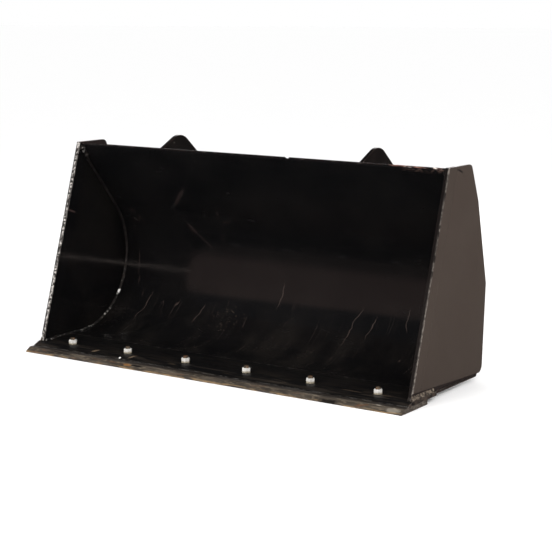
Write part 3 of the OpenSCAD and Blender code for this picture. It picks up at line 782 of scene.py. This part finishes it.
def bead(name, look, joint, leg, ring=0.0022, pitch=0.0075, cap=0.0, swell=(), tall=1.0):
    """A rippled weld bead. joint is rows of (point, direction a, direction b).

    The bead fills the corner between the two directions. With a cap height it is a low crown across
    direction a instead. swell is rows of (place, reach, factor), and tall stretches direction b."""
    rng = np.random.default_rng(sum(ord(c) for c in name))
    s, p, a, b = even_steps(joint, ring, tall)
    knots = np.arange(0, s[-1] + 2 * KNOT, KNOT)
    wander = np.interp(s, knots, rng.uniform(1 - UNEVEN, 1 + UNEVEN, len(knots)))
    jitter = np.interp(s, knots, rng.uniform(-RIPPLE_JITTER, RIPPLE_JITTER, len(knots)))
    ends = np.clip(np.minimum(s, s[-1] - s) / RUN_OUT, 0.25, 1)
    size = leg * wander * ends
    for place, reach, factor in swell:
        size = size * (1 + (factor - 1) * np.exp(-(((s - place) / reach) ** 2)))
    section = []
    for k in range(SECTION_STEPS + 1):
        t = k / SECTION_STEPS
        middle = math.sin(math.pi * t)
        phase = (s + RIPPLE_LAG * leg * middle) / pitch + jitter
        ripple = 1 - RIPPLE * (2 * (phase % 1) - 1) ** 2 * middle
        if cap:
            shape = math.cos(math.pi * t) * a + (cap / leg * middle) * b
            sink = SINK * b
        else:
            chord = (1 - t) * a + t * b
            round_out = math.cos(t * math.pi / 2) * a + math.sin(t * math.pi / 2) * b
            shape = (1 - ROUND) * chord + ROUND * round_out
            sink = SINK * ((1 - t) * b + t * a)
        section.append(p + (size * ripple)[:, None] * shape - sink)
    section.append(p - SINK * (b if cap else a + b) - (cap * b if cap else 0))
    mesh = tube_mesh(name, np.stack(section, 1))
    if np.cross(p[1] - p[0], a[0]) @ b[0] < 0:
        mesh.flip_normals()
    obj = bpy.data.objects.new(name, mesh)
    bpy.context.scene.collection.objects.link(obj)
    mesh.materials.append(look)
    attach(obj, "root")


def across_joint(x0, x1, y, z, a, b):
    """A straight corner across the bucket."""
    return [((x, y, z), a, b) for x in np.linspace(x0, x1, SEAM_POINTS)]


def side_name(side):
    return "right" if side > 0 else "left"


def inner_x(y, z):
    """The inner face that the sheet meets: the edge bar near the mouth, the side plate behind it."""
    behind = (y - MOUTH_Y) - (z - FLOOR_Z) * math.tan(MOUTH_ANGLE)
    return BAR_INNER if behind < BAR_DEPTH else PLATE_INNER


def roll_at(z):
    """The y of the sheet's outer surface at a height, behind the roll."""
    return ROLL_Y + math.sqrt((ROLL_R + SHEET_T) ** 2 - (z - ROLL_Z) ** 2)


UP, DOWN, AHEAD, BEHIND = (0, 0, 1), (0, 0, -1), (0, -1, 0), (0, 1, 0)


def add_side_welds(side, front, rough_look, plain):
    """The welds of one side plate: inside and outside the sheet, on the ledge and along the runner."""
    tag = side_name(side)
    inward, outward = (-side, 0, 0), (side, 0, 0)
    rows = cut_path(sheet_path(0.0), y_from=MOUTH_Y + CLEAR)
    joint = [((side * inner_x(y, z), y, z), inward, (0, -ny, -nz)) for y, z, ny, nz in rows]
    length = sum(math.dist(u[0], v[0]) for u, v in zip(joint, joint[1:]))
    swell = [(length - below, LUMP_REACH, factor) for below, factor in LUMPS]
    bead(f"weld_inside_{tag}", front, joint, LEG_INSIDE, ring=0.002, swell=swell)
    joint = []
    for y, z, ny, nz in cut_path(sheet_path(SHEET_T), y_from=BASE_REAR + SHORT):
        x = RUNNER_INNER if z < RUNNER_TOP and y < RUNNER_REAR else PLATE_INNER
        joint.append(((side * x, y, z), inward, (0, ny, nz)))
    bead(f"weld_outside_{tag}", plain, joint[:-LIP_CLEAR_ROWS], LEG_FULL)
    line = np.linspace(MOUTH_Y - SHORT, BASE_REAR - SHORT, LINE_POINTS)
    joint = [((side * (PLATE_OUTER - FOOT_IN), y, FLOOR_Z), outward, UP) for y in line]
    bead(f"weld_edge_{tag}", rough_look, joint, LEG_FOOT, ring=0.0014, pitch=0.0085, tall=FOOT_TALL)
    line = np.linspace(BASE_REAR + SHORT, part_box("heel_runner_right")[1].y - HEEL_ROOM, LINE_POINTS)
    joint = [((side * PLATE_INNER, y, FLOOR_Z), outward, DOWN) for y in line]
    bead(f"weld_runner_{tag}", plain, joint, LEG_FINE)


def add_floor_and_lip_welds(plain):
    """Above and below the seam where the sheet meets the base edge, and under the lip bar."""
    inside = PLATE_INNER - CLEAR
    seam = across_joint(-inside, inside, BASE_REAR, FLOOR_Z, AHEAD, UP)
    bead("weld_floor_seam", plain, seam, LEG_THIN, cap=SEAM_CROWN)
    half = inside - UNDER_ROOM
    under = across_joint(-half, half, BASE_REAR, FLOOR_Z - SHEET_T, DOWN, BEHIND)
    bead("weld_floor_under", plain, under, LEG_THIN)
    y, z = (LIP[i] + SHEET_T * BACK_OUT[i] + LIP_BAR_FOOT * BACK_DOWN[i] for i in (0, 1))
    spans = ((-inside, -EAR_FAR, "left"), (-EAR_NEAR, EAR_NEAR, "middle"), (EAR_FAR, inside, "right"))
    for start, stop, tag in spans:
        joint = across_joint(start, stop, y, z, (0, *BACK_DOWN), (0, *BACK_OUT))
        bead(f"weld_lip_{tag}", plain, joint, LEG_FINE)


def rib_joint(x, out, rows):
    """Where a face at x, which looks towards that side, stands on the sheet along those rows."""
    return [((x, y, z), (out, 0, 0), (0, ny, nz)) for y, z, ny, nz in rows]


def add_ear_welds(tag, plain):
    """Both sides of an ear: up the back of the sheet and along the hook's top plate."""
    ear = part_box("ear_gusset_" + tag)
    rows = cut_path(sheet_path(SHEET_T), low=HOOK_TOP + CLEAR, high=EAR_WELD_TOP, y_from=0.0)
    ys = np.linspace(roll_at(HOOK_TOP) + ROOM, ear[1].y - SHORT, FOOT_POINTS)
    for face, x, out in (("a", ear[0].x, -1), ("b", ear[1].x, 1)):
        bead(f"weld_ear_{tag}_{face}", plain, rib_joint(x, out, rows), LEG_THIN)
        joint = [((x, y, HOOK_TOP), (out, 0, 0), UP) for y in ys]
        bead(f"weld_ear_foot_{tag}_{face}", plain, joint, LEG_THIN)


def add_frame_welds(plain):
    """The welds that hold the quick-attach frame to the roll and its own plates together."""
    plate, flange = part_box("coupler_plate"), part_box("coupler_pin_flange")
    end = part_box("coupler_end_plate_right")
    half = plate[1].x - SHORT
    seams = (
        ("weld_hook_roll", roll_at(HOOK_TOP), HOOK_TOP, UP, LEG_FULL),
        ("weld_flange_roll", roll_at(flange[0].z), flange[0].z, DOWN, LEG_FULL),
        ("weld_plate_foot", plate[1].y, flange[1].z, UP, LEG_FULL),
        ("weld_plate_head", plate[1].y, plate[1].z, DOWN, LEG_THIN),
    )
    for name, y, z, away, leg in seams:
        bead(name, plain, across_joint(-half, half, y, z, BEHIND, away), leg)
    for side in (-1, 1):
        tag = side_name(side)
        heights = np.linspace(flange[1].z + ROOM, plate[1].z - ROOM, LINE_POINTS)
        joint = [((side * plate[1].x, plate[1].y, z), (-side, 0, 0), BEHIND) for z in heights]
        bead(f"weld_plate_end_{tag}", plain, joint, LEG_FULL)
        rows = cut_path(sheet_path(SHEET_T), low=end[0].z + SHORT, high=end[1].z - SHORT, y_from=0.0)
        bead(f"weld_end_plate_{tag}", plain, rib_joint(side * end[1].x, side, rows), LEG_FULL)
        add_ear_welds(tag, plain)


def add_skid_welds(place, plain):
    """Both sides of a skid bar, where it follows the roll."""
    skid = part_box("skid_bar_" + place)
    rows = cut_path(sheet_path(SHEET_T), high=SKID_WELD_TOP, y_from=BASE_REAR + 2 * SHORT)
    for face, x, out in (("a", skid[0].x, -1), ("b", skid[1].x, 1)):
        bead(f"weld_skid_{place}_{face}", plain, rib_joint(x, out, rows), LEG_THIN, ring=0.003)


def add_welds():
    """Every bead on the bucket."""
    front = weld_look("weld_front", True)
    rough_look = spatter_look()
    plain = weld_look("weld_paint", False)
    for side in (-1, 1):
        add_side_welds(side, front, rough_look, plain)
    add_floor_and_lip_welds(plain)
    add_frame_welds(plain)
    for place in ("outer_left", "outer_right", "inner_left", "inner_right"):
        add_skid_welds(place, plain)


def soften(obj, width):
    """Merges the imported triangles' points and rounds the sharp edges a little."""
    mesh = obj.data
    mesh.polygons.foreach_set("use_smooth", [True] * len(mesh.polygons))
    if "custom_normal" in mesh.attributes:
        mesh.attributes.remove(mesh.attributes["custom_normal"])
    obj.modifiers.new("merge", "WELD").merge_threshold = MERGE_GAP
    flat = obj.modifiers.new("flat", "DECIMATE")
    flat.decimate_type = "DISSOLVE"
    flat.angle_limit = FLAT_ANGLE
    round_off = obj.modifiers.new("round", "BEVEL")
    round_off.width = width
    round_off.segments = 2
    round_off.limit_method = "ANGLE"
    round_off.angle_limit = SHARP_ANGLE
    obj.modifiers.new("shade", "WEIGHTED_NORMAL").keep_sharp = False


def dress():
    """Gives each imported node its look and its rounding."""
    body, skid, ear = body_look(), skid_look(), ear_look()
    looks = {
        "wrapper_sheet": wrapper_look(),
        "side_plate_left": side_look(-1),
        "side_plate_right": side_look(1),
        "side_edge_bar_left": bar_look(-1),
        "side_edge_bar_right": bar_look(1),
        "top_lip_bar": lip_look(),
        "base_edge": base_edge_look(),
        "bolt_on_edge": cutting_edge_look(),
        "plow_bolts": bolt_look(),
        "hex_nuts": nut_look(),
    }
    for name, obj in nodes.items():
        shared = skid if name.startswith("skid_bar") else ear if name.startswith("ear") else body
        obj.data.materials.clear()
        obj.data.materials.append(looks.get(name, shared))
        soften(obj, ROUNDING.get(name, USUAL_ROUNDING))


def add_camera():
    """The main view, from ahead of the mouth and to the right."""
    a, e, r = (math.radians(v) for v in (AZIMUTH, ELEVATION, ROLL))
    back = Vector((math.sin(a) * math.cos(e), -math.cos(a) * math.cos(e), math.sin(e)))
    right = Vector((math.cos(a), math.sin(a), 0))
    up = back.cross(right)
    right, up = right * math.cos(r) + up * math.sin(r), up * math.cos(r) - right * math.sin(r)
    cam = bpy.data.cameras.new("camera")
    cam.lens = LENS
    cam.sensor_width = SENSOR
    obj = bpy.data.objects.new("camera", cam)
    m = Matrix((right, up, back)).transposed().to_4x4()
    m.translation = AIM + back * DISTANCE
    obj.matrix_world = m
    bpy.context.scene.collection.objects.link(obj)
    bpy.context.scene.camera = obj


def add_area(name, place, target, size, energy, colour=(1, 1, 1), glossy=False):
    """A rectangular soft light. Gloss reflects it only where glossy is set."""
    light = bpy.data.lights.new(name, "AREA")
    light.shape = "RECTANGLE"
    light.size, light.size_y = size
    light.energy = energy
    light.color = colour
    obj = bpy.data.objects.new(name, light)
    obj.visible_glossy = glossy
    obj.location = place
    obj.rotation_euler = (Vector(target) - Vector(place)).to_track_quat("-Z", "Y").to_euler()
    bpy.context.scene.collection.objects.link(obj)


def add_world():
    """White to the camera and to soft light. Gloss sees a studio wall, banded by height."""
    world = bpy.data.worlds.new("studio")
    world.use_nodes = True
    bpy.context.scene.world = world
    tree = world.node_tree
    new, link = tree.nodes.new, tree.links.new
    shade = tree.nodes["Background"]
    where = new("ShaderNodeTexCoord")
    split = new("ShaderNodeSeparateXYZ")
    link(where.outputs["Generated"], split.inputs[0])
    wall = new("ShaderNodeValToRGB")
    stops = wall.color_ramp.elements
    for stop, (position, colour) in zip(stops, (WALL[0], WALL[-1])):
        stop.position = position
        stop.color = (*colour, 1)
    for position, colour in WALL[1:-1]:
        stops.new(position).color = (*colour, 1)
    height = new("ShaderNodeMapRange")
    height.inputs["From Min"].default_value = -1
    link(split.outputs[2], height.inputs["Value"])
    link(height.outputs[0], wall.inputs[0])
    rays = new("ShaderNodeLightPath")
    soft = new("ShaderNodeMix")
    soft.data_type = "RGBA"
    soft.inputs[6].default_value = (1.0, 1.0, 1.0, 1)
    link(rays.outputs["Is Glossy Ray"], soft.inputs[0])
    link(wall.outputs[0], soft.inputs[7])
    seen = new("ShaderNodeMix")
    seen.data_type = "RGBA"
    link(rays.outputs["Is Camera Ray"], seen.inputs[0])
    link(soft.outputs[2], seen.inputs[6])
    seen.inputs[7].default_value = (1, 1, 1, 1)
    link(seen.outputs[2], shade.inputs["Color"])


def add_floor():
    """A wide, white disc for the bucket to stand on."""
    mesh = bpy.data.meshes.new("studio_floor")
    turns = [i * math.tau / STUDIO_POINTS for i in range(STUDIO_POINTS)]
    rim = [(STUDIO_R * math.cos(turn), STUDIO_R * math.sin(turn), -STUDIO_DROP) for turn in turns]
    mesh.from_pydata(rim, [], [tuple(range(STUDIO_POINTS))])
    floor = bpy.data.objects.new("studio_floor", mesh)
    bpy.context.scene.collection.objects.link(floor)
    s = Look("studio_floor")
    colour = s.mix(s.noise(3.0), FLOOR_DIM, FLOOR_PALE)
    mesh.materials.append(s.done(colour, 0.8, specular=0.0))
    floor.visible_glossy = False


dress()
add_welds()
add_camera()
add_world()
add_floor()
# Soft lights: name, place, aim, size and watts, with the colour where it isn't white
add_area("key", (4.2, -1.6, 3.2), (0.5, 0, 0.4), (2.5, 2.5), 110)
add_area("front", (-1.0, -4.5, 2.2), (0, 0, 0.2), (3.0, 2.0), 110)
add_area("rear_left", (-2.6, 4.6, 2.4), (0, 0.3, 0.3), (3.0, 1.6), 45, glossy=True)
add_area("streak", (3.4, -6.2, 1.62), (0, 0, 0.3), (6.0, 0.10), 75, (1.0, 0.84, 0.76), glossy=True)
bpy.context.scene.view_settings.view_transform = "Standard"
